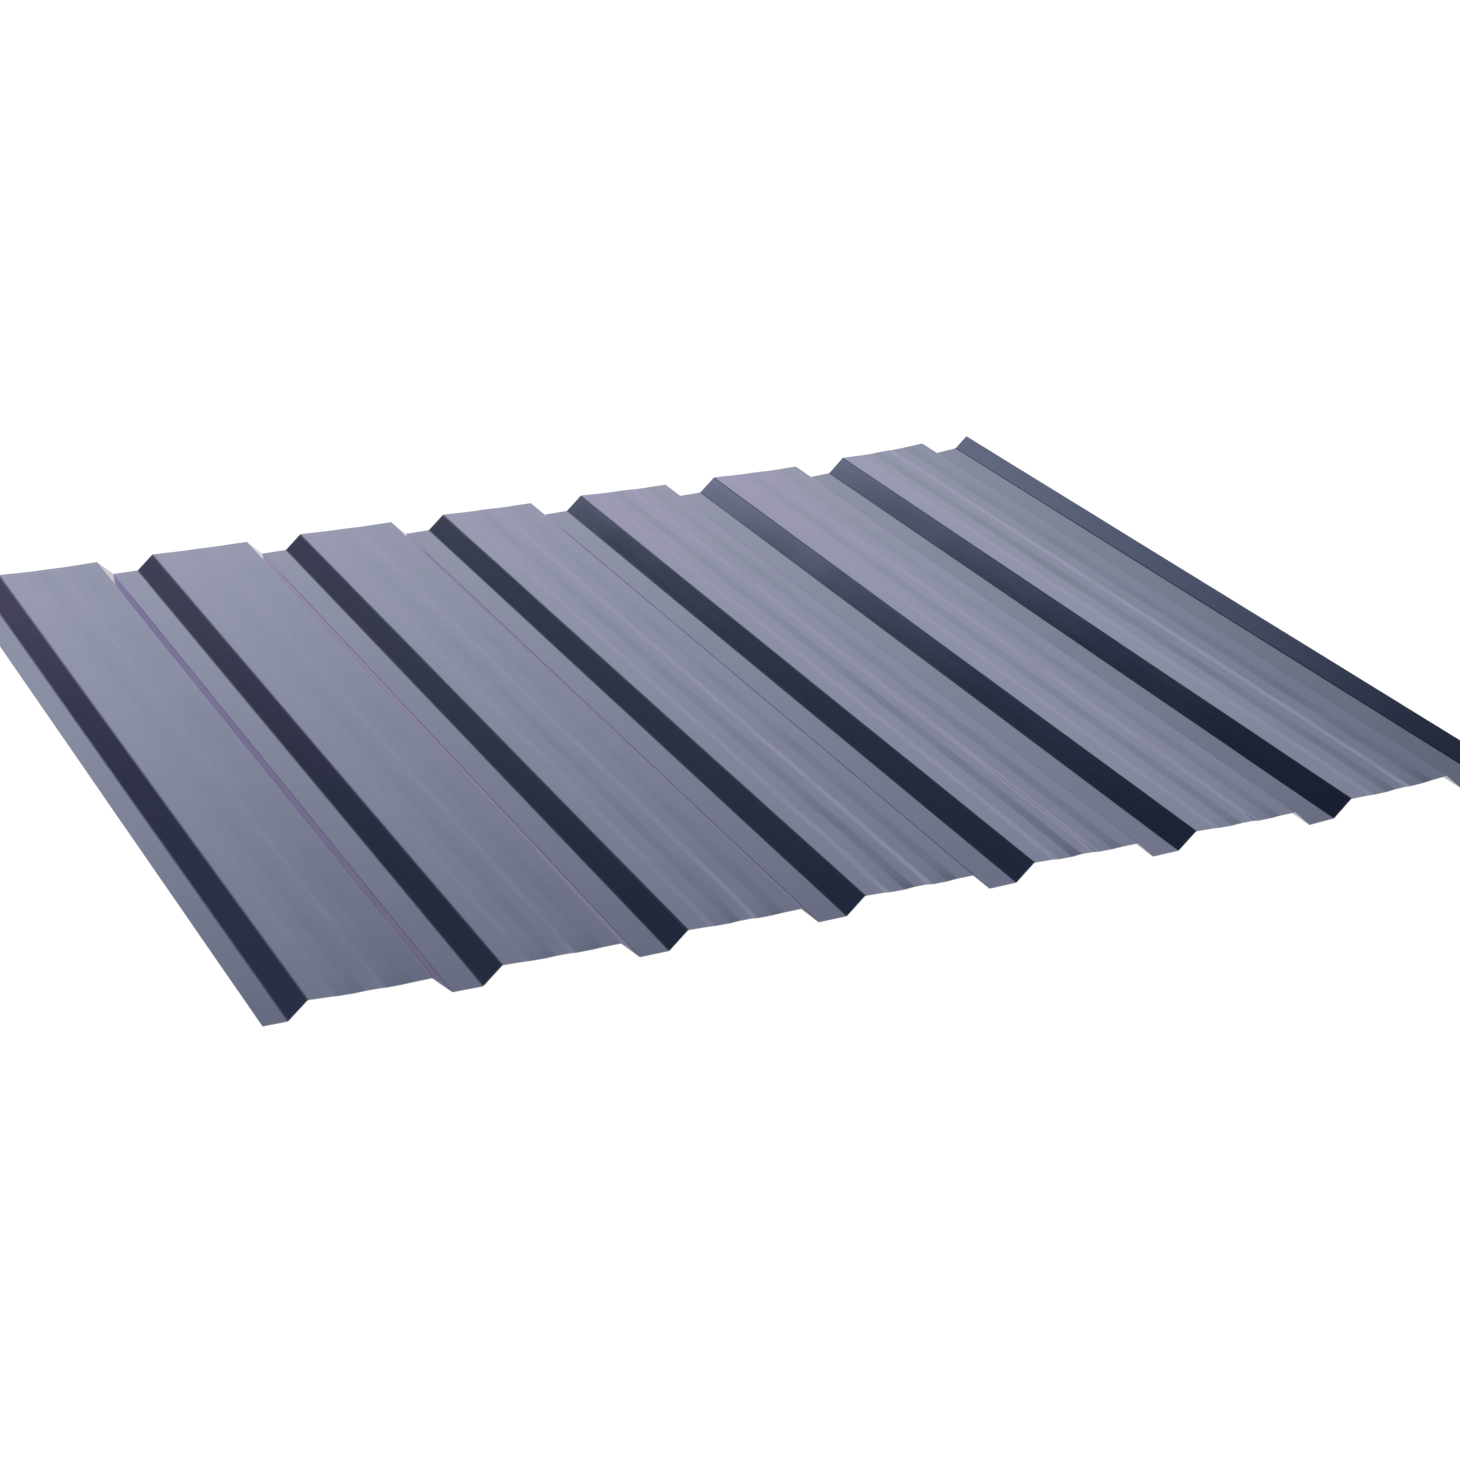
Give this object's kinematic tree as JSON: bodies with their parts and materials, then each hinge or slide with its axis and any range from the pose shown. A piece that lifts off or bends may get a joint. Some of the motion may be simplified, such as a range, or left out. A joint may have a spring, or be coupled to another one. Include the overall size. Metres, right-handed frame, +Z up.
{
  "type": "wall cladding sheet",
  "caption": "Trapezoidal steel wall cladding sheet with wide grooved crowns, narrow valleys and side lap edges; screwed to wall rails through its valleys.",
  "frame": {"origin": "middle of the footprint, on the level of the valleys' undersides, which the sheet lies on", "axes": "+X across the ribs from the lap flat to the free web, +Y along the ribs, +Z up, out of the wall face"},
  "size_m": [1.1558, 1, 0.016],
  "materials": {
    "coated_steel": "satin slate-grey polyester coil coating on the face, light grey backing lacquer on the reverse"
  },
  "bodies": {
    "root": {"cladding_sheet": "coated_steel"}
  },
  "joints": []
}
